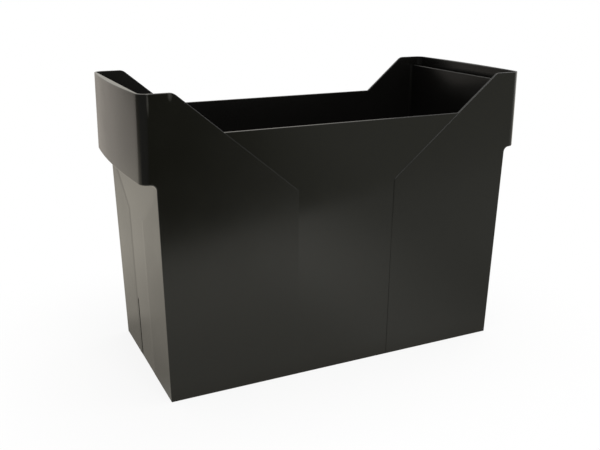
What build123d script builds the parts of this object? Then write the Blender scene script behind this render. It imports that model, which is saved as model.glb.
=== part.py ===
"""Open-top desk box for A4 suspension files, moulded in black polystyrene.

The tub is moulded in one shot. It is modelled here as one master moulding, from its
elevations and its plan, and is then divided along its own step lines, rims and ledges
into the zones that a toolmaker would name. Neighbouring zones meet face to face.

Millimetres. X runs along the box, Y from front to rear, Z up. The origin is the centre
of the footprint, on the surface that the box stands on.
"""

from build123d import *
from math import cos, radians, sin, sqrt, tan
import os

os.makedirs("parts", exist_ok=True)

# Tub
overall_height = 257.0
base_width = 152.4
draft_angle = 1.07
wall = 2.3
floor_thickness = 2.5
foot_height = 1.2
inner_corner_radius = 3.0

# Centre panels, front and rear, between the corner sleeves
centre_panel_width = 92.4
knee_height = 170.6
wing_top_length = 27.3
rim_height = 224.0
centre_step = 0.5
joggle = 1.6
wing_top_radius = 8.0

# End panels, between the corner sleeves
end_channel_width = 38.8
funnel_drop = 39.1
funnel_margin = 6.4
end_step = 0.2
ramp_width = 5.0
slot_bottom = 2.0
slot_top = 58.0
slot_width = 2.6
slot_depth = 1.1

# Grip bands and the ledges that carry them
shoulder_height = 188.3
shoulder_thickness = 2.4
band_corner_wall = 1.0
band_bow = 4.2
band_draft = 1.2
band_corner_radius = 8.0
band_return = 9.0
cove_radius = 4.8

# Hanging rails, and the channels that take the ends of the file bars
rail_spacing = 330.0
rail_thickness = 2.2
rail_drop = 8.5
bar_overhang = 9.0
channel_draft = 0.25
channel_corner_radius = 6.0

# Small radii and chamfers of the cavity, and the chamfer of the core
edge_radius = 1.0
rim_radius = 0.5
foot_chamfer = 0.45
core_chamfer = 0.3

rise_per_mm = tan(radians(draft_angle))
band_rise_per_mm = tan(radians(band_draft))
channel_rise_per_mm = tan(radians(channel_draft))
floor_top = foot_height + floor_thickness
rail_top = overall_height - rail_drop
ledge_top = shoulder_height + shoulder_thickness
band_height = overall_height - shoulder_height
rail_inner = rail_spacing / 2 - rail_thickness / 2
rail_outer = rail_spacing / 2 + rail_thickness / 2
rail_root = rail_outer + (rail_top - ledge_top) * channel_rise_per_mm
channel_outer = rail_spacing / 2 + bar_overhang
channel_root = channel_outer - (overall_height - ledge_top) * channel_rise_per_mm
base_length = 2 * (rail_inner + wall - rail_top * rise_per_mm)
band_corner_x = channel_outer + band_corner_wall + band_height * band_rise_per_mm
wing_top_x = band_corner_x - wing_top_length
window_slope = (overall_height - knee_height) / (wing_top_x - centre_panel_width / 2)
rim_x = centre_panel_width / 2 + (rim_height - knee_height) / window_slope
reach = 2 * band_corner_x
selector_tolerance = 0.05
cove_bottom = shoulder_height - cove_radius
band_joint = band_corner_x - band_return
corner_inset = wall + inner_corner_radius


def half_length(height):
    """Half the tub's outer length at a height: its ends lean out by the draft."""
    return base_length / 2 + height * rise_per_mm


def half_width(height):
    """Half the tub's outer width at a height: front and rear lean out by the draft."""
    return base_width / 2 + height * rise_per_mm


def prism(plane, points):
    """A polygon on a plane through the origin, extruded to both sides of it."""
    with BuildPart() as solid:
        with BuildSketch(plane):
            with BuildLine():
                Polyline(*points, close=True)
            make_face()
        extrude(amount=reach, both=True)
    return solid.part


def slab(plane, half_size, inset, bottom, top):
    """A drafted slab between two heights, half_size(height) less the inset to each side."""
    low = half_size(bottom) - inset
    high = half_size(top) - inset
    return prism(plane, [(-low, bottom), (low, bottom), (high, top), (-high, top)])


def drafted_block(inset, bottom, top):
    """The tub's block between two heights, all four sides set in by the same amount."""
    with BuildPart() as block:
        add(slab(Plane.XZ, half_length, inset, bottom, top))
        add(slab(Plane.YZ, half_width, inset, bottom, top), mode=Mode.INTERSECT)
    return block.part


def centre_zone(top, spread=0.0):
    """The zone of the front and rear between the sleeves, widened evenly by spread."""
    half = centre_panel_width / 2 + spread
    knee = knee_height + spread * (window_slope - sqrt(1 + window_slope**2))
    far = half + (top - knee) / window_slope
    points = [(-half, -foot_height), (half, -foot_height), (half, knee)]
    return prism(Plane.XZ, points + [(far, top), (-far, top), (-half, knee)])


def funnel_outline(spread=0.0):
    """The end channel and the funnel that opens from it, in elevation, widened evenly by spread."""
    half = end_channel_width / 2 + spread
    funnel_slope = funnel_drop / (half_width(cove_bottom) - funnel_margin - end_channel_width / 2)
    knee = cove_bottom - funnel_drop + spread * (funnel_slope - sqrt(1 + funnel_slope**2))
    top = cove_bottom
    far = half + (top - knee) / funnel_slope
    points = [(-half, -foot_height), (half, -foot_height), (half, knee)]
    return points + [(far, top), (-far, top), (-half, knee)]


def funnel_zone(spread=0.0):
    """The zone of the end channel and its funnel, widened evenly by spread."""
    return prism(Plane.YZ, funnel_outline(spread))


def slot_zone():
    """The upright slot along the rear edge of each end channel."""
    edge = end_channel_width / 2
    low, high = (edge - slot_width, slot_bottom), (edge, slot_top)
    return prism(Plane.YZ, [low, (high[0], low[1]), high, (low[0], high[1])])


def in_front_face(edge, inset):
    """Whether an edge runs in the drafted front face, set in by the inset."""
    middle = edge @ 0.5
    return abs(middle.Y + half_width(middle.Z) - inset) < selector_tolerance


def beside_window(edge):
    """Whether an edge reaches inboard of the wing's flat top."""
    return edge.bounding_box().min.X < wing_top_x + wing_top_radius


def clear_of_joint(edge):
    """Whether an edge lies beyond the joint between a sleeve and its grip band."""
    return (edge @ 0.5).X > band_joint + selector_tolerance


def in_channel(edge):
    """Whether an edge bounds the channel between a hanging rail and its grip band."""
    middle = edge @ 0.5
    beside = half_width(middle.Z) - wall + selector_tolerance
    return middle.X < channel_outer + selector_tolerance and abs(middle.Y) < beside


def sunk(zone, plane, half_size, depth):
    """What a zone holds outside the drafted faces that lie deeper than depth."""
    with BuildPart() as layer:
        add(zone)
        add(slab(plane, half_size, depth, -reach, reach), mode=Mode.SUBTRACT)
    return layer.part


# ---------------------------------------------------------------- outer form
with BuildPart() as band_block:
    base = shoulder_height - 2 * cove_radius
    spread = (shoulder_height - base) * band_rise_per_mm
    half = half_width(overall_height)
    bow_radius = (half**2 + band_bow**2) / (2 * band_bow)
    apex = band_corner_x + band_bow
    edge_y = half + band_corner_radius
    edge_x = apex - bow_radius + sqrt((bow_radius + spread) ** 2 - edge_y**2)
    with BuildSketch(Plane.XY.offset(base)):
        with BuildLine():
            Line((-edge_x, -edge_y), (edge_x, -edge_y))
            ThreePointArc((edge_x, -edge_y), (apex + spread, 0), (edge_x, edge_y))
            Line((edge_x, edge_y), (-edge_x, edge_y))
            ThreePointArc((-edge_x, edge_y), (-apex - spread, 0), (-edge_x, -edge_y))
        make_face()
    extrude(amount=overall_height - base, taper=band_draft)
    add(slab(Plane.YZ, half_width, 0, base, overall_height), mode=Mode.INTERSECT)
    corners = band_block.edges().filter_by(lambda e: e.bounding_box().size.Z > band_height / 2)
    fillet(corners, band_corner_radius)
    for side in (-1, 1):
        with BuildSketch(Plane.XZ) as undercut:
            with BuildLine():
                Polyline(
                    (side * half_length(base), base),
                    (side * half_length(shoulder_height), shoulder_height),
                    (side * reach, shoulder_height),
                    (side * reach, base),
                    close=True,
                )
            make_face()
            inner_corner = undercut.vertices().group_by(Axis.Y)[-1].sort_by(lambda v: abs(v.X))[0]
            fillet(inner_corner, cove_radius)
        extrude(amount=reach, both=True, mode=Mode.SUBTRACT)

with BuildPart() as funnel_ramps:
    lean = radians(draft_angle)
    outward = Vector(cos(lean), 0, -sin(lean))
    for depth, spread in ((0, ramp_width), (end_step, 0)):
        start = Vector(base_length / 2, 0, 0) - outward * depth
        with BuildSketch(Plane(origin=start, x_dir=(0, 1, 0), z_dir=outward)):
            with BuildLine():
                Polyline(*[(y, z / cos(lean)) for y, z in funnel_outline(spread)], close=True)
            make_face()
    loft(ruled=True)
    mirror(about=Plane.YZ)

with BuildPart() as outer_form:
    add(drafted_block(0, 0, overall_height))
    chamfer(outer_form.edges().group_by(Axis.Z)[0], foot_chamfer)
    add(band_block.part)
    skirt = outer_form.edges().filter_by(Axis.Y, reverse=True)
    fillet(skirt.filter_by_position(Axis.Z, foot_height, ledge_top), edge_radius)
    add(sunk(centre_zone(overall_height), Plane.YZ, half_width, centre_step), mode=Mode.SUBTRACT)
    add(sunk(funnel_zone(), Plane.XZ, half_length, end_step), mode=Mode.SUBTRACT)
    add(funnel_ramps.part, mode=Mode.SUBTRACT)
    add(sunk(slot_zone(), Plane.XZ, half_length, end_step + slot_depth), mode=Mode.SUBTRACT)

# ---------------------------------------------------------------- what the core takes out
with BuildPart() as tub_core:
    add(drafted_block(wall, floor_top, overall_height))
    uprights = tub_core.edges().filter_by(lambda e: e.bounding_box().size.Z > rim_height / 2)
    fillet(uprights, inner_corner_radius)
    add(sunk(centre_zone(rim_height, joggle), Plane.YZ, half_width, wall + centre_step), mode=Mode.SUBTRACT)
    add(sunk(funnel_zone(joggle), Plane.XZ, half_length, wall + end_step), mode=Mode.SUBTRACT)

with BuildPart() as hook_channels:
    for side in (-1, 1):
        section = [(rail_inner - inner_corner_radius, overall_height)]
        section += [(rail_inner - inner_corner_radius, rail_top), (rail_outer, rail_top)]
        section += [(rail_root, ledge_top), (channel_root, ledge_top), (channel_outer, overall_height)]
        add(prism(Plane.XZ, [(side * x, z) for x, z in section]))
    add(slab(Plane.YZ, half_width, wall, 0, overall_height), mode=Mode.INTERSECT)
    uprights = hook_channels.edges().filter_by(
        lambda e: e.bounding_box().size.Z > band_height / 2 and abs(e.center().X) > rail_root
    )
    fillet(uprights, channel_corner_radius)

with BuildPart() as window:
    with BuildSketch(Plane.XZ) as top_outline:
        with BuildLine():
            Polyline(
                (-reach, overall_height),
                (-wing_top_x, overall_height),
                (-rim_x, rim_height),
                (rim_x, rim_height),
                (wing_top_x, overall_height),
                (reach, overall_height),
                (reach, overall_height + band_height),
                (-reach, overall_height + band_height),
                close=True,
            )
        make_face()
        fillet(top_outline.vertices().filter_by(lambda v: abs(abs(v.X) - wing_top_x) < wall), wing_top_radius)
    extrude(amount=reach, both=True)

with BuildPart() as moulding:
    add(outer_form.part)
    add(tub_core.part, mode=Mode.SUBTRACT)
    add(hook_channels.part, mode=Mode.SUBTRACT)
    add(window.part, mode=Mode.SUBTRACT)
    add(drafted_block(wall, -foot_height, foot_height), mode=Mode.SUBTRACT)

# ---------------------------------------------------------------- floor
with BuildPart() as floor_plate:
    add(moulding.part)
    add(drafted_block(wall, foot_height, floor_top), mode=Mode.INTERSECT)
floor_plate.part.label = "floor_plate"
export_step(floor_plate.part, "parts/floor_plate.step")

with BuildPart() as walls:
    add(moulding.part)
    add(drafted_block(wall, foot_height, floor_top), mode=Mode.SUBTRACT)

with BuildPart() as right_walls:
    add(walls.part)
    split(bisect_by=Plane.YZ)

# ---------------------------------------------------------------- centre panels
with BuildPart() as front_panel:
    add(walls.part)
    add(centre_zone(overall_height), mode=Mode.INTERSECT)
    split(bisect_by=Plane.XZ)
    rim_edges = front_panel.faces().sort_by(Axis.Z)[-1].edges().filter_by(Axis.X).sort_by(Axis.Y)
    fillet(rim_edges[0], rim_radius)
    rim_edges = front_panel.faces().sort_by(Axis.Z)[-1].edges().filter_by(Axis.X).sort_by(Axis.Y)
    chamfer(rim_edges[-1], core_chamfer)
front_panel.part.label = "front_panel"
export_step(front_panel.part, "parts/front_panel.step")

with BuildPart() as rear_panel:
    mirror(front_panel.part, about=Plane.XZ)
rear_panel.part.label = "rear_panel"
export_step(rear_panel.part, "parts/rear_panel.step")

# ---------------------------------------------------------------- end panels
with BuildPart() as right_end_panel:
    add(right_walls.part)
    add(funnel_zone(), mode=Mode.INTERSECT)
right_end_panel.part.label = "right_end_panel"
export_step(right_end_panel.part, "parts/right_end_panel.step")

with BuildPart() as left_end_panel:
    mirror(right_end_panel.part, about=Plane.YZ)
left_end_panel.part.label = "left_end_panel"
export_step(left_end_panel.part, "parts/left_end_panel.step")

# ---------------------------------------------------------------- shoulders, each with its cove and ledge
with BuildPart() as right_shoulder:
    add(right_walls.part)
    add(slab(Plane.YZ, half_width, corner_inset, cove_bottom, ledge_top), mode=Mode.INTERSECT)
    outline = [(0, cove_bottom), (channel_root, cove_bottom), (channel_root, ledge_top), (0, ledge_top)]
    add(prism(Plane.XZ, outline), mode=Mode.INTERSECT)
right_shoulder.part.label = "right_shoulder"
export_step(right_shoulder.part, "parts/right_shoulder.step")

with BuildPart() as left_shoulder:
    mirror(right_shoulder.part, about=Plane.YZ)
left_shoulder.part.label = "left_shoulder"
export_step(left_shoulder.part, "parts/left_shoulder.step")

# ---------------------------------------------------------------- hanging rails
with BuildPart() as right_hanging_rail:
    add(right_walls.part)
    add(slab(Plane.YZ, half_width, corner_inset, ledge_top, overall_height), mode=Mode.INTERSECT)
    outline = [(0, ledge_top), (band_joint, ledge_top), (band_joint, overall_height), (0, overall_height)]
    add(prism(Plane.XZ, outline), mode=Mode.INTERSECT)
    rail_edges = right_hanging_rail.faces().sort_by(Axis.Z)[-1].edges().filter_by(Axis.Y)
    fillet(rail_edges, rim_radius)
right_hanging_rail.part.label = "right_hanging_rail"
export_step(right_hanging_rail.part, "parts/right_hanging_rail.step")

with BuildPart() as left_hanging_rail:
    mirror(right_hanging_rail.part, about=Plane.YZ)
left_hanging_rail.part.label = "left_hanging_rail"
export_step(left_hanging_rail.part, "parts/left_hanging_rail.step")

# ---------------------------------------------------------------- grip bands
with BuildPart() as band_zone:
    outline = [(channel_root, 0), (channel_root, ledge_top), (band_joint, ledge_top)]
    outline += [(band_joint, overall_height), (reach, overall_height), (reach, 0)]
    add(prism(Plane.XZ, outline))

with BuildPart() as right_grip_band:
    add(right_walls.part)
    add(band_zone.part, mode=Mode.INTERSECT)
    rim_edges = right_grip_band.faces().sort_by(Axis.Z)[-1].edges().filter_by(clear_of_joint)
    fillet(rim_edges.filter_by(in_channel, reverse=True), rim_radius)
    rim_edges = right_grip_band.faces().sort_by(Axis.Z)[-1].edges().filter_by(clear_of_joint)
    chamfer(rim_edges.filter_by(in_channel), core_chamfer)
right_grip_band.part.label = "right_grip_band"
export_step(right_grip_band.part, "parts/right_grip_band.step")

with BuildPart() as left_grip_band:
    mirror(right_grip_band.part, about=Plane.YZ)
left_grip_band.part.label = "left_grip_band"
export_step(left_grip_band.part, "parts/left_grip_band.step")

# ---------------------------------------------------------------- corner sleeves
with BuildPart() as corner_front_right:
    add(right_walls.part)
    split(bisect_by=Plane.XZ)
    add(centre_zone(overall_height), mode=Mode.SUBTRACT)
    add(funnel_zone(), mode=Mode.SUBTRACT)
    add(band_zone.part, mode=Mode.SUBTRACT)
    add(slab(Plane.YZ, half_width, corner_inset, cove_bottom, overall_height), mode=Mode.SUBTRACT)
    outlines = corner_front_right.edges().filter_by(beside_window)
    fillet(outlines.filter_by(lambda e: in_front_face(e, 0) and (e @ 0.5).Z > foot_height), rim_radius)
    outlines = corner_front_right.edges().filter_by(beside_window)
    outlines = outlines.filter_by(lambda e: (e @ 0.5).Z > rim_height + rim_radius)
    chamfer(outlines.filter_by(lambda e: in_front_face(e, wall)), core_chamfer)
corner_front_right.part.label = "corner_front_right"
export_step(corner_front_right.part, "parts/corner_front_right.step")

with BuildPart() as corner_front_left:
    mirror(corner_front_right.part, about=Plane.YZ)
corner_front_left.part.label = "corner_front_left"
export_step(corner_front_left.part, "parts/corner_front_left.step")

with BuildPart() as corner_rear_right:
    mirror(corner_front_right.part, about=Plane.XZ)
corner_rear_right.part.label = "corner_rear_right"
export_step(corner_rear_right.part, "parts/corner_rear_right.step")

with BuildPart() as corner_rear_left:
    mirror(corner_front_left.part, about=Plane.XZ)
corner_rear_left.part.label = "corner_rear_left"
export_step(corner_rear_left.part, "parts/corner_rear_left.step")
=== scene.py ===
"""Open desk box for A4 suspension files, one black polystyrene moulding, on a white sheet.

Metres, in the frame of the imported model: +X along the box to its right-hand grip band, +Y to
the rear, +Z up, origin at the centre of the footprint. The moulding is divided into named
zones that meet face to face, and each zone keeps its own node. The grip bands are surfaces
worked out here, because their bowed walls mirror the surroundings and must run smooth.
"""

from math import cos, pi, radians, sin, tan

import bmesh
import bpy
import numpy as np
from mathutils import Matrix, Vector


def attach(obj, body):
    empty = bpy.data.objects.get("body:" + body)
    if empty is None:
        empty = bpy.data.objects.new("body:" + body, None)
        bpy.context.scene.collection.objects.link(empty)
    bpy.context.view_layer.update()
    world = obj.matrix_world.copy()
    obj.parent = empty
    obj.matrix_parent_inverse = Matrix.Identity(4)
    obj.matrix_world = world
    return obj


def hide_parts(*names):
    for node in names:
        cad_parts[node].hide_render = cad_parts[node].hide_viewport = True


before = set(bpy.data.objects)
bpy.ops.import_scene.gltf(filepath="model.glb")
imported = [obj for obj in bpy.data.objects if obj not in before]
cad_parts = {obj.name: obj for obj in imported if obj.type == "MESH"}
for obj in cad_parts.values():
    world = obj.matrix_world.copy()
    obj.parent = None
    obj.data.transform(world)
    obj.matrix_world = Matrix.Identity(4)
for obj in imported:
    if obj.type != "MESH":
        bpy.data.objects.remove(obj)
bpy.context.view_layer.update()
scene = bpy.context.scene
scene.view_settings.view_transform = "Standard"

# ---------------------------------------------------------------- camera
# A 46 mm lens on a full-frame body, 0.73 m from the middle of the box, off its front left
# corner and a little above its top.
CAMERA_TURN = radians(25.49)
CAMERA_TILT = radians(17.74)
CAMERA_ROLL = radians(0.13)
CAMERA_PLACE = (-0.3092, -0.6332, 0.3369)
CAMERA_LENS = 46.22
CAMERA_SENSOR = 36.0

away = Vector(
    (
        -sin(CAMERA_TURN) * cos(CAMERA_TILT),
        -cos(CAMERA_TURN) * cos(CAMERA_TILT),
        sin(CAMERA_TILT),
    )
)
level = Vector((cos(CAMERA_TURN), -sin(CAMERA_TURN), 0))
upward = away.cross(level)
camera_right = level * cos(CAMERA_ROLL) + upward * sin(CAMERA_ROLL)
camera_up = upward * cos(CAMERA_ROLL) - level * sin(CAMERA_ROLL)
camera_axes = Matrix((camera_right, camera_up, away)).transposed().to_4x4()
camera_data = bpy.data.cameras.new("camera")
camera_data.lens = CAMERA_LENS
camera_data.sensor_width = CAMERA_SENSOR
camera = bpy.data.objects.new("camera", camera_data)
camera.matrix_world = Matrix.Translation(CAMERA_PLACE) @ camera_axes
scene.collection.objects.link(camera)
scene.camera = camera

# ---------------------------------------------------------------- white sheet on its table
# A sheet of white paper lies under the box and ends in front of it, where its table begins,
# dark on the left and grey on the right. Seen straight, the sheet is plain white, with a faint
# real shadow near the foot. Glossy rays see a painted reflection instead: sheet and table tones
# that glow, with painted shade about the foot of the box.
WHITE = (1, 1, 1, 1)
SHEET_MATT = (0.75, 0.73, 0.68, 1)
# Tones of the painted reflection, which glows for glossy rays only.
SHEET_REAR = (0.79, 0.74, 0.64, 1)
SHEET_BEYOND = (0.62, 0.57, 0.51, 1)
SHEET_LEFT = (0.80, 0.79, 0.72, 1)
SHEET_FRONT = (0.92, 0.91, 0.84, 1)
SHEET_RIGHT = (0.49, 0.49, 0.45, 1)
TABLE_LEFT = (0.03, 0.03, 0.02, 1)
TABLE_BESIDE = (0.14, 0.14, 0.15, 1)
TABLE_RIGHT = (0.38, 0.38, 0.34, 1)
TABLE_FAR = (0.40, 0.39, 0.37, 1)

# Where one tone gives way to the next: start and end, along X or along Y.
TABLE_SLANT = 0.35
LEFT_TO_RIGHT_TABLE = (-0.26, 0.17)
BESIDE_TO_LEFT_TABLE = (-0.60, 0.05)
FAR_TO_NEAR_TABLE = (-3.7, -2.8)
LEFT_TO_FRONT_SHEET = (-0.02, 0.08)
FRONT_TO_RIGHT_SHEET = (0.06, 0.28)
BESIDE_TO_FRONT = (-0.72, -0.42)
FRONT_TO_REAR = (-0.12, -0.02)
REAR_TO_BEYOND = (0.55, 0.95)
EDGE_SLANT = 0.3
TABLE_TO_SHEET = (-0.464, -0.404)

# How far the sheet darkens, in painted shade on the glowing tones and, for SEEN_SHADE, in the
# real
# shadow seen straight: start and end, then the share of its tone that is left at each.
FAR_LEFT_SHADE = (-1.4, -0.8, 0.14, 1.0)
BOX_SHADE = (0.0, 0.28, 0.69, 1.0)
CONTACT_SHADE = (0.0, 0.05, 0.66, 1.0)
SEEN_SHADE = (0.0, 0.20, 0.86, 1.0)
FOOTPRINT = (0.162, 0.0765)
SHEET_REACH = 4


def node(tree, kind, **values):
    """A node of a kind. Names in values that are sockets set the socket, others the node."""
    made = tree.nodes.new(kind)
    for name, value in values.items():
        socket = name.replace("_", " ")
        if socket in made.inputs:
            made.inputs[socket].default_value = value
        else:
            setattr(made, name, value)
    return made


def link(tree, source, target):
    """A link between two sockets."""
    tree.links.new(source, target)


def eased(tree, value, start, end, low=0.0, high=1.0):
    """low before start and high after end, and between them low plus the rise times
    3 t squared less 2 t cubed, where t is the share of the way from start to end."""
    made = node(tree, "ShaderNodeMapRange", interpolation_type="SMOOTHSTEP")
    limits = {"From Min": start, "From Max": end, "To Min": low, "To Max": high}
    for name, number in limits.items():
        made.inputs[name].default_value = number
    link(tree, value, made.inputs["Value"])
    return made.outputs["Result"]


def blended(tree, factor, first, second, kind="MIX"):
    """first where factor is 0, second where it is 1 and both in proportion between, or their
    product with the kind MULTIPLY. Each is a colour or a socket."""
    made = node(tree, "ShaderNodeMix", data_type="RGBA", blend_type=kind)
    targets = (made.inputs[0], made.inputs[6], made.inputs[7])
    for given, target in zip((factor, first, second), targets):
        if isinstance(given, (tuple, float)):
            target.default_value = given
        else:
            link(tree, given, target)
    return made.outputs[2]


def calculated(tree, operation, first, second):
    """The result of an operation on two sockets or numbers."""
    made = node(tree, "ShaderNodeMath", operation=operation)
    for given, target in ((first, made.inputs[0]), (second, made.inputs[1])):
        if isinstance(given, float):
            target.default_value = given
        else:
            link(tree, given, target)
    return made.outputs[0]


def slanted(tree, value, other, slant):
    """value plus slant times other, which turns a border across value by the slant."""
    return calculated(tree, "ADD", value, calculated(tree, "MULTIPLY", other, slant))


def beyond(tree, value, half):
    """How far a value lies outside the span from -half to half: its size less half, or 0."""
    size = calculated(tree, "ABSOLUTE", value, 0.0)
    return calculated(tree, "MAXIMUM", calculated(tree, "SUBTRACT", size, half), 0.0)


def first_of(tree, mask, otherwise, shader):
    """shader where mask is 1, the other shader elsewhere."""
    made = node(tree, "ShaderNodeMixShader")
    link(tree, mask, made.inputs["Fac"])
    link(tree, otherwise, made.inputs[1])
    link(tree, shader, made.inputs[2])
    return made.outputs[0]


def seen_rays(tree, rays):
    """1 for what is seen straight or through glass, 0 for all other light."""
    return calculated(
        tree, "MAXIMUM", rays.outputs["Is Camera Ray"], rays.outputs["Is Transmission Ray"]
    )


sheet_material = bpy.data.materials.new("sheet")
sheet_material.use_nodes = True
tree = sheet_material.node_tree
tree.nodes.clear()
place = node(tree, "ShaderNodeTexCoord")
split = node(tree, "ShaderNodeSeparateXYZ")
link(tree, place.outputs["Object"], split.inputs["Vector"])
along, across = split.outputs["X"], split.outputs["Y"]

# Level distance from the box's footprint: the root of the sum of the squares along X and Y.
past = [beyond(tree, value, half) for value, half in zip((along, across), FOOTPRINT)]
squares = [calculated(tree, "POWER", value, 2.0) for value in past]
distance = calculated(tree, "SQRT", calculated(tree, "ADD", *squares), 0.0)

# Painted reflection: the table in front, then the sheet that ends on it along a slanted edge.
aslant = slanted(tree, along, across, TABLE_SLANT)
table = blended(tree, eased(tree, aslant, *LEFT_TO_RIGHT_TABLE), TABLE_LEFT, TABLE_RIGHT)
table = blended(tree, eased(tree, along, *BESIDE_TO_LEFT_TABLE), TABLE_BESIDE, table)
table = blended(tree, eased(tree, across, *FAR_TO_NEAR_TABLE), TABLE_FAR, table)
near = blended(tree, eased(tree, along, *LEFT_TO_FRONT_SHEET), SHEET_LEFT, SHEET_FRONT)
near = blended(tree, eased(tree, along, *FRONT_TO_RIGHT_SHEET), near, SHEET_RIGHT)
edge = slanted(tree, across, along, EDGE_SLANT)
front = blended(tree, eased(tree, edge, *TABLE_TO_SHEET), table, near)
front = blended(tree, eased(tree, along, *BESIDE_TO_FRONT), TABLE_BESIDE, front)

# Painted reflection of the sheet beside and behind the box, darker to the far left, with painted
# shade close about the foot.
rear = blended(tree, eased(tree, across, *REAR_TO_BEYOND), SHEET_REAR, SHEET_BEYOND)
rear = blended(tree, 1.0, rear, eased(tree, along, *FAR_LEFT_SHADE), "MULTIPLY")
rear = blended(tree, 1.0, rear, eased(tree, distance, *CONTACT_SHADE), "MULTIPLY")
painted_tones = blended(tree, eased(tree, across, *FRONT_TO_REAR), front, rear)
# Painted shade of the box over all the glowing tones, fading out with distance from its
# footprint.
painted_tones = blended(tree, 1.0, painted_tones, eased(tree, distance, *BOX_SHADE), "MULTIPLY")

# The glowing painted reflection that glossy rays see, what is seen straight, and the matt paper
# that all other light falls on.
painted_reflection = node(tree, "ShaderNodeEmission", Strength=1.0)
link(tree, painted_tones, painted_reflection.inputs["Color"])
matt = node(tree, "ShaderNodeBsdfDiffuse", Color=SHEET_MATT)
pale = node(tree, "ShaderNodeBsdfDiffuse", Color=WHITE)
plain = node(tree, "ShaderNodeEmission", Color=WHITE, Strength=1.0)
shadow_fade = eased(tree, distance, *SEEN_SHADE)
seen = first_of(tree, shadow_fade, pale.outputs[0], plain.outputs[0])
rays = node(tree, "ShaderNodeLightPath")
surface = first_of(tree, rays.outputs["Is Glossy Ray"], matt.outputs[0], painted_reflection.outputs[0])
surface = first_of(tree, seen_rays(tree, rays), surface, seen)
output = node(tree, "ShaderNodeOutputMaterial")
link(tree, surface, output.inputs["Surface"])

sheet_corners = [
    (-SHEET_REACH, -SHEET_REACH, 0),
    (SHEET_REACH, -SHEET_REACH, 0),
    (SHEET_REACH, SHEET_REACH, 0),
    (-SHEET_REACH, SHEET_REACH, 0),
]
sheet_mesh = bpy.data.meshes.new("sheet")
sheet_mesh.from_pydata(sheet_corners, [], [(0, 1, 2, 3)])
sheet_mesh.materials.append(sheet_material)
sheet = bpy.data.objects.new("sheet", sheet_mesh)
scene.collection.objects.link(sheet)

# ---------------------------------------------------------------- room
# Painted walls far away under a pale ceiling: pale to the rear with grey ends, dark in front on
# the left and grey in front on the right. Seen straight, the room is plain white.
WALL_REAR = (0.83, 0.80, 0.73, 1)
WALL_BEHIND = (0.34, 0.33, 0.31, 1)
WALL_BESIDE = (0.24, 0.24, 0.23, 1)
WALL_LEFT = (0.07, 0.07, 0.06, 1)
WALL_RIGHT = (0.32, 0.32, 0.31, 1)
CEILING = (0.80, 0.80, 0.79, 1)

# Where one wall gives way to the next: start and end of that axis of the direction.
LEFT_TO_RIGHT_WALL = (-0.3, 0.5)
BEHIND_TO_REAR_WALL = (-0.75, -0.35)
REAR_TO_BESIDE_WALL = (0.38, 0.62)
FRONT_TO_REAR_WALL = (-0.35, 0.25)
WALL_TO_CEILING = (0.35, 0.75)

world = bpy.data.worlds.new("room")
scene.world = world
world.use_nodes = True
tree = world.node_tree
tree.nodes.clear()
place = node(tree, "ShaderNodeTexCoord")
split = node(tree, "ShaderNodeSeparateXYZ")
link(tree, place.outputs["Generated"], split.inputs["Vector"])
east, north, up = (split.outputs[axis] for axis in "XYZ")
front_wall = blended(tree, eased(tree, east, *LEFT_TO_RIGHT_WALL), WALL_LEFT, WALL_RIGHT)
rear_wall = blended(tree, eased(tree, east, *BEHIND_TO_REAR_WALL), WALL_BEHIND, WALL_REAR)
rear_wall = blended(tree, eased(tree, east, *REAR_TO_BESIDE_WALL), rear_wall, WALL_BESIDE)
walls = blended(tree, eased(tree, north, *FRONT_TO_REAR_WALL), front_wall, rear_wall)
room = blended(tree, eased(tree, up, *WALL_TO_CEILING), walls, CEILING)
room_light = node(tree, "ShaderNodeBackground", Strength=1.0)
link(tree, room, room_light.inputs["Color"])
backdrop = node(tree, "ShaderNodeBackground", Color=WHITE, Strength=1.0)
rays = node(tree, "ShaderNodeLightPath")
seen = first_of(tree, seen_rays(tree, rays), room_light.outputs[0], backdrop.outputs[0])
output = node(tree, "ShaderNodeOutputWorld")
link(tree, seen, output.inputs["Surface"])

# ---------------------------------------------------------------- lamps
# Two square softboxes face the box: a small one high in front, and a large, weak one to the
# right that puts a soft sheen on the walls turned towards it.
LAMP_TARGET = (0, 0, 0.1)


def softbox(name, place, size, radiance):
    """A square lamp at a place, turned to the box. Its watts are radiance x area x pi."""
    data = bpy.data.lights.new(name, "AREA")
    data.shape = "SQUARE"
    data.size = size
    data.energy = radiance * size * size * pi
    lamp = bpy.data.objects.new(name, data)
    lamp.location = place
    aim = Vector(LAMP_TARGET) - Vector(place)
    lamp.rotation_euler = aim.to_track_quat("-Z", "Y").to_euler()
    lamp.visible_camera = False
    scene.collection.objects.link(lamp)


softbox("front_softbox", place=(-0.1, -1.3, 1.7), size=0.9, radiance=4.0)
softbox("right_softbox", place=(1.5, 0.18, 0.72), size=2.1, radiance=1.0)

# ---------------------------------------------------------------- corner sleeves
# The four sleeves are moulded with the box in black polystyrene, stand 0.5 mm proud of its
# centre panels and rise as wings beside the low rims. Their cavity was spark-eroded, which
# leaves a satin with a fine grain. Two small paler spots sit at the tip of the front left wing.
SLEEVE_COLOUR = (0.0063, 0.0063, 0.0044, 1)
SLEEVE_ROUGHNESS = 0.21
SLEEVE_GRAIN = 0.000003
# Walls facing the middle take a tone of their own, painted light that lifts the shaded inside.
CORE_SIDE_PAINTED_LIGHT = (0.0062, 0.0060, 0.0054, 1)
CORE_ROUGHNESS = 0.24
CORE_SIDE = -0.01
PLASTIC_IOR = 1.5
GRAIN_SCALE = 900.0
MOTTLE_SCALE = 28.0
MOTTLE_RANGE = (0.3, 0.7)
MOTTLE_PALER = 1.25
MOTTLE_DULLER = 0.02
PALE_SPOT_COLOUR = (0.055, 0.054, 0.050, 1)

# Centre of each pale spot, and its reach along X, Y and Z.
PALE_SPOTS = (
    ((-0.1687, -0.081, 0.2510), (0.0012, 0.004, 0.0140)),
    ((-0.1518, -0.081, 0.2550), (0.0024, 0.004, 0.0055)),
)


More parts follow.
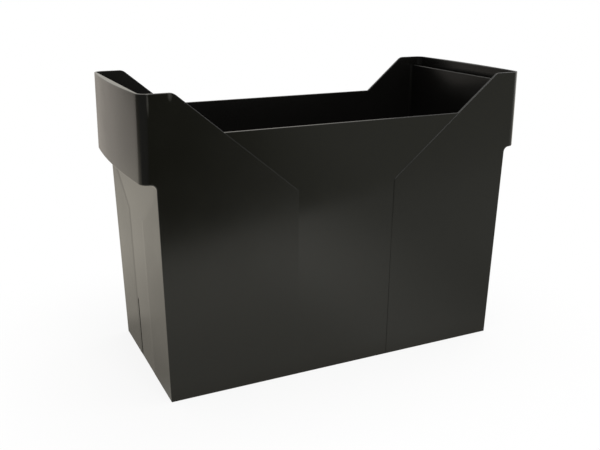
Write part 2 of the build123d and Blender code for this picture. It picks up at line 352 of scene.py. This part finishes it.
def mould_grain():
    """A group that gives the height of the fine grain and the value of a slow mottle: noise of
    the place on the box at two scales, both about 0 to 1."""
    group = bpy.data.node_groups.new("mould_grain", "ShaderNodeTree")
    faces = group.interface
    for label, direction in (
        ("Grain Scale", "INPUT"),
        ("Mottle Scale", "INPUT"),
        ("Height", "OUTPUT"),
        ("Mottle", "OUTPUT"),
    ):
        faces.new_socket(label, in_out=direction, socket_type="NodeSocketFloat")
    inlet = node(group, "NodeGroupInput")
    outlet = node(group, "NodeGroupOutput")
    place = node(group, "ShaderNodeTexCoord")
    grain = node(group, "ShaderNodeTexNoise", Detail=2.0, Roughness=0.6)
    mottle = node(group, "ShaderNodeTexNoise", Detail=3.0, Roughness=0.55)
    for source, target in (
        (place.outputs["Object"], grain.inputs["Vector"]),
        (place.outputs["Object"], mottle.inputs["Vector"]),
        (inlet.outputs["Grain Scale"], grain.inputs["Scale"]),
        (inlet.outputs["Mottle Scale"], mottle.inputs["Scale"]),
        (grain.outputs["Fac"], outlet.inputs["Height"]),
        (mottle.outputs["Fac"], outlet.inputs["Mottle"]),
    ):
        link(group, source, target)
    return group


grain_group = mould_grain()


def core_side(tree):
    """1 on walls that face the middle of the box, 0 on all others: whether the level place
    times the face's normal, the wall's distance along its normal, is below CORE_SIDE."""
    faces = node(tree, "ShaderNodeNewGeometry")
    place = node(tree, "ShaderNodeTexCoord")
    level = node(tree, "ShaderNodeVectorMath", operation="MULTIPLY")
    level.inputs[1].default_value = (1, 1, 0)
    outwards = node(tree, "ShaderNodeVectorMath", operation="DOT_PRODUCT")
    link(tree, place.outputs["Object"], level.inputs[0])
    link(tree, level.outputs[0], outwards.inputs[0])
    link(tree, faces.outputs["True Normal"], outwards.inputs[1])
    return calculated(tree, "LESS_THAN", outwards.outputs["Value"], CORE_SIDE)


def mark(tree, centre, reach):
    """A soft spot: 1 at a centre, eased to 0 where the offset over the reach has length 1."""
    place = node(tree, "ShaderNodeTexCoord")
    offset = node(tree, "ShaderNodeVectorMath", operation="SUBTRACT")
    offset.inputs[1].default_value = centre
    scaled = node(tree, "ShaderNodeVectorMath", operation="DIVIDE")
    scaled.inputs[1].default_value = reach
    length = node(tree, "ShaderNodeVectorMath", operation="LENGTH")
    link(tree, place.outputs["Object"], offset.inputs[0])
    link(tree, offset.outputs[0], scaled.inputs[0])
    link(tree, scaled.outputs[0], length.inputs[0])
    return eased(tree, length.outputs["Value"], 0.0, 1.0, low=1.0, high=0.0)


def polystyrene(name, colour, roughness, grain_depth, marks=()):
    """Black polystyrene: the mottle moves colour and roughness a little, the grain is a bump.
    The walls that the core made are duller than those from the cavity, and a little paler in
    painted light that lifts the shaded inside."""
    material = bpy.data.materials.new(name)
    material.use_nodes = True
    tree = material.node_tree
    shader = tree.nodes["Principled BSDF"]
    shader.inputs["IOR"].default_value = PLASTIC_IOR
    grain = node(tree, "ShaderNodeGroup", node_tree=grain_group)
    grain.inputs["Grain Scale"].default_value = GRAIN_SCALE
    grain.inputs["Mottle Scale"].default_value = MOTTLE_SCALE
    mottle = grain.outputs["Mottle"]
    core = core_side(tree)

    paler = tuple(MOTTLE_PALER * value for value in colour[:3]) + (1,)
    outer = blended(tree, mottle, colour, paler)
    for centre, reach in marks:
        outer = blended(tree, mark(tree, centre, reach), outer, PALE_SPOT_COLOUR)
    link(tree, blended(tree, core, outer, CORE_SIDE_PAINTED_LIGHT), shader.inputs["Base Color"])

    spread = node(tree, "ShaderNodeMapRange")
    spread.inputs["From Min"].default_value = MOTTLE_RANGE[0]
    spread.inputs["From Max"].default_value = MOTTLE_RANGE[1]
    spread.inputs["To Min"].default_value = roughness - MOTTLE_DULLER
    spread.inputs["To Max"].default_value = roughness + MOTTLE_DULLER
    link(tree, mottle, spread.inputs["Value"])
    duller = calculated(tree, "MULTIPLY", core, CORE_ROUGHNESS - roughness)
    duller = calculated(tree, "ADD", spread.outputs["Result"], duller)
    link(tree, duller, shader.inputs["Roughness"])

    bump = node(tree, "ShaderNodeBump", Strength=1.0, Distance=grain_depth)
    link(tree, grain.outputs["Height"], bump.inputs["Height"])
    link(tree, bump.outputs["Normal"], shader.inputs["Normal"])
    return material


def dress(name, finish):
    """Gives a node of the moulding its finish."""
    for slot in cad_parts[name].material_slots:
        slot.material = finish


sleeve_finish = polystyrene(
    "sleeve_finish", SLEEVE_COLOUR, SLEEVE_ROUGHNESS, SLEEVE_GRAIN, PALE_SPOTS
)
for name in ("corner_front_left", "corner_front_right", "corner_rear_left", "corner_rear_right"):
    dress(name, sleeve_finish)

# ---------------------------------------------------------------- centre panels and end panels
# The panels between the sleeves are the same moulding, sunk 0.5 mm in the front and rear and
# 0.2 mm in the ends. Polished inserts in the cavity made them, so they mirror more sharply.
PANEL_COLOUR = (0.0063, 0.0063, 0.0044, 1)
PANEL_ROUGHNESS = 0.12
PANEL_GRAIN = 0.000002

panel_finish = polystyrene("panel_finish", PANEL_COLOUR, PANEL_ROUGHNESS, PANEL_GRAIN)
for name in ("front_panel", "rear_panel", "left_end_panel", "right_end_panel"):
    dress(name, panel_finish)

# ---------------------------------------------------------------- floor, shoulders and rails
# Floor, coved ledges and hanging rails are moulded in one with the walls. Floor and ledges have
# the sleeves' satin. The hooks of the file bars slide along the rails and rub them dull.
RAIL_ROUGHNESS = 0.5

for name in ("floor_plate", "left_shoulder", "right_shoulder"):
    dress(name, sleeve_finish)
rail_finish = polystyrene("rail_finish", SLEEVE_COLOUR, RAIL_ROUGHNESS, SLEEVE_GRAIN)
for name in ("left_hanging_rail", "right_hanging_rail"):
    dress(name, rail_finish)

# ---------------------------------------------------------------- grip bands
# At each end a bowed wall of the same satin polystyrene stands on the ledge, 9 mm outside the
# middle of the rail, and turns into the wings with an 8 mm corner. It is moulded in one with
# both. Fingers lift the box by its lower edge.
HEIGHT = 0.257
SHOULDER = 0.1883
LEDGE_TOP = 0.1907
WALL = 0.0023
HALF_WIDTH = 0.0762
TUB_DRAFT = tan(radians(1.07))
BAND_DRAFT = tan(radians(1.2))
CHANNEL_DRAFT = tan(radians(0.25))
CHANNEL_OUTER = 0.174
CHANNEL_RADIUS = 0.006
BAND_CORNER_WALL = 0.001
BAND_CORNER = CHANNEL_OUTER + BAND_CORNER_WALL + (HEIGHT - SHOULDER) * BAND_DRAFT
BAND_RETURN = 0.009
BAND_JOINT = BAND_CORNER - BAND_RETURN
BAND_BOW = 0.0042
BAND_RADIUS = 0.008
SKIRT_RADIUS = 0.001
RIM_RADIUS = 0.0005
CORE_CHAMFER = 0.0003

# Points per run of the plan and per rounding, heights between them, and the distance of the
# points that keep a rounding crisp.
RETURN_POINTS = 5
CORNER_POINTS = (7, 9)
BOW_POINTS = 17
ROUNDING_POINTS = 7
OUTER_HEIGHTS = (0.196, 0.21, 0.225, 0.24, 0.252)
INNER_HEIGHTS = (0.24, 0.22, 0.2)
CRISP = 0.0002
SAME_POINT = 0.000001
SHARP_ANGLE = radians(32)


def band_grid():
    """The right-hand band as stations along its plan by points round its closed section.

    A station is a share of one of three runs: straight return, corner and bow or flat. The
    section climbs the outer wall, crosses the rim, goes down the inner wall to the ledge and
    closes there, or below the ledge where the outer wall stands outside it.
    """
    half = HALF_WIDTH + HEIGHT * TUB_DRAFT
    bow_radius = (half**2 + BAND_BOW**2) / (2 * BAND_BOW)
    bow_centre = BAND_CORNER + BAND_BOW - bow_radius
    channel_root = CHANNEL_OUTER - (HEIGHT - LEDGE_TOP) * CHANNEL_DRAFT

    def outer_corner(z):
        """Centre of the corner at height z, one corner radius inside the straight return and
        inside the bow, and the angle at which it lies from the bow's centre."""
        reach = bow_radius - (z - SHOULDER) * BAND_DRAFT - BAND_RADIUS
        y = HALF_WIDTH + z * TUB_DRAFT - BAND_RADIUS
        turn = np.arcsin(y / reach)
        return bow_centre + reach * np.cos(turn), y, turn

    # Stations: the corner has one where its foot steps down from the ledge to the shoulder.
    corner_x, corner_y, turn = outer_corner(LEDGE_TOP)
    step_turn = np.arccos((channel_root - corner_x) / BAND_RADIUS)
    step_share = (pi / 2 - step_turn) / (pi / 2 - turn)
    returns = np.linspace(0, 1, RETURN_POINTS)[:-1]
    corners = np.concatenate(
        [
            np.linspace(0, step_share, CORNER_POINTS[0]),
            np.linspace(step_share, 1, CORNER_POINTS[1]),
        ]
    )
    bows = np.linspace(0, 1, BOW_POINTS)[1:]
    share = np.concatenate([returns, corners, bows])[None, :]
    run = np.repeat([0, 1, 2], [len(returns), len(corners), len(bows)])[None, :]
    low = (np.arange(share.size) >= len(returns) + CORNER_POINTS[0])[None, :]

    def outer_plan(z, inset):
        """Outer wall at height z: a straight return, an 8 mm arc and a shallow bow, each
        shifted inwards by inset, with the centres of the arcs kept."""
        corner_x, corner_y, turn = outer_corner(z)
        round_corner = pi / 2 + share * (turn - pi / 2)
        along_bow = turn * (1 - share)
        bow = bow_radius - (z - SHOULDER) * BAND_DRAFT - inset
        small = BAND_RADIUS - inset
        runs_x = [
            BAND_JOINT + share * (corner_x - BAND_JOINT),
            corner_x + small * np.cos(round_corner),
            bow_centre + bow * np.cos(along_bow),
        ]
        runs_y = [
            corner_y + small + 0 * share,
            corner_y + small * np.sin(round_corner),
            bow * np.sin(along_bow),
        ]
        return np.choose(run, runs_x), -np.choose(run, runs_y)

    def inner_plan(z, spread):
        """Inner wall at height z: a straight return, a 6 mm arc and a flat, each shifted
        outwards by spread."""
        channel = CHANNEL_OUTER - (HEIGHT - z) * CHANNEL_DRAFT
        corner_x = channel - CHANNEL_RADIUS
        corner_y = HALF_WIDTH + z * TUB_DRAFT - WALL - CHANNEL_RADIUS
        round_corner = pi / 2 * (1 - share)
        small = CHANNEL_RADIUS + spread
        runs_x = [
            BAND_JOINT + share * (corner_x - BAND_JOINT),
            corner_x + small * np.cos(round_corner),
            channel + spread + 0 * share,
        ]
        runs_y = [
            corner_y + small + 0 * share,
            corner_y + small * np.sin(round_corner),
            corner_y * (1 - share),
        ]
        return np.choose(run, runs_x), -np.choose(run, runs_y)

    # Outer wall, from the rounded skirt to the rounded rim. Beyond the step it starts at the
    # shoulder, before the step at the ledge.
    arc = np.linspace(0, pi / 2, ROUNDING_POINTS)
    skirt = SHOULDER + SKIRT_RADIUS * (1 - np.cos(arc))
    wall = np.array([SHOULDER + SKIRT_RADIUS + CRISP, LEDGE_TOP, *OUTER_HEIGHTS])
    rim = HEIGHT - RIM_RADIUS * (1 - np.sin(arc))
    z = np.concatenate([skirt, wall, [rim[0] - CRISP], rim, [HEIGHT]])[:, None]
    skirt_inset = SKIRT_RADIUS * (1 - np.sin(arc))
    wall_inset = np.zeros(len(wall) + 1)
    rim_inset = RIM_RADIUS * (1 - np.cos(arc))
    inset = np.concatenate([skirt_inset, wall_inset, rim_inset, [RIM_RADIUS + CRISP]])[:, None]
    inset = np.where(low | (z > LEDGE_TOP), inset, 0)
    z = np.where(low, z, np.maximum(z, LEDGE_TOP))
    x, y = outer_plan(z, inset)
    x = np.where(low & (z < LEDGE_TOP), np.maximum(x, channel_root), x)
    outer = np.stack([x, y, z], axis=-1)

    # Inner wall, from the chamfered rim down to the ledge.
    rim = [HEIGHT, HEIGHT, HEIGHT - CORE_CHAMFER, HEIGHT - 2 * CORE_CHAMFER]
    z = np.array([*rim, *INNER_HEIGHTS, LEDGE_TOP])[:, None] + 0 * share
    spread = np.zeros((len(z), 1))
    spread[:2, 0] = CORE_CHAMFER + CRISP, CORE_CHAMFER
    x, y = inner_plan(z, spread)
    inner = np.stack([x, y, z], axis=-1)

    # Foot: from the inner wall out to the edge of the ledge, then down to the shoulder.
    at = inner[-1]
    ledge = outer[0]
    gap = np.where(ledge[:, 0] > at[:, 0] + SAME_POINT, ledge[:, 0] - at[:, 0], 1)
    slide = np.where(low[0], np.clip((channel_root - at[:, 0]) / gap, 0, 1), 0)[:, None]
    foot = at + slide * (ledge - at)
    upper, lower = foot.copy(), foot.copy()
    upper[:, 2] = LEDGE_TOP
    lower[:, 2] = np.where(low[0], SHOULDER, LEDGE_TOP)
    section = np.concatenate([outer, inner, upper[None], lower[None]])

    # The rear half mirrors the front one.
    rear = section[:, -2::-1] * np.array([1, -1, 1])
    return np.concatenate([section, rear], axis=1)


def band_surface(name, grid, side, finish):
    """A closed tube from a grid of section points by stations, with its two ends capped. Its
    length is mirrored and its faces are turned round where side is -1."""
    rows, stations = grid.shape[:2]
    points = grid.reshape(-1, 3) * np.array([side, 1, 1])
    index = np.arange(rows * stations).reshape(rows, stations)
    below, above = index[:, :-1], np.roll(index, -1, axis=0)[:, :-1]
    quads = np.stack([below, below + 1, above + 1, above], axis=-1).reshape(-1, 4)
    caps = np.stack([index[:, 0], index[::-1, -1]])
    mesh = bpy.data.meshes.new(name)
    faces = quads[:, ::side].tolist() + caps[:, ::side].tolist()
    mesh.from_pydata(points.tolist(), [], faces)
    merged = bmesh.new()
    merged.from_mesh(mesh)
    bmesh.ops.remove_doubles(merged, verts=merged.verts, dist=SAME_POINT)
    merged.to_mesh(mesh)
    merged.free()
    mesh.materials.append(finish)
    mesh.polygons.foreach_set("use_smooth", np.ones(len(mesh.polygons), dtype=bool))
    mesh.set_sharp_from_angle(angle=SHARP_ANGLE)
    made = bpy.data.objects.new(name, mesh)
    scene.collection.objects.link(made)
    return made


band = band_grid()
for name, node_name, side in (
    ("right_band", "right_grip_band", 1),
    ("left_band", "left_grip_band", -1),
):
    piece = band_surface(name, band, side, sleeve_finish)
    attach(piece, "root")
    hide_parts(node_name)
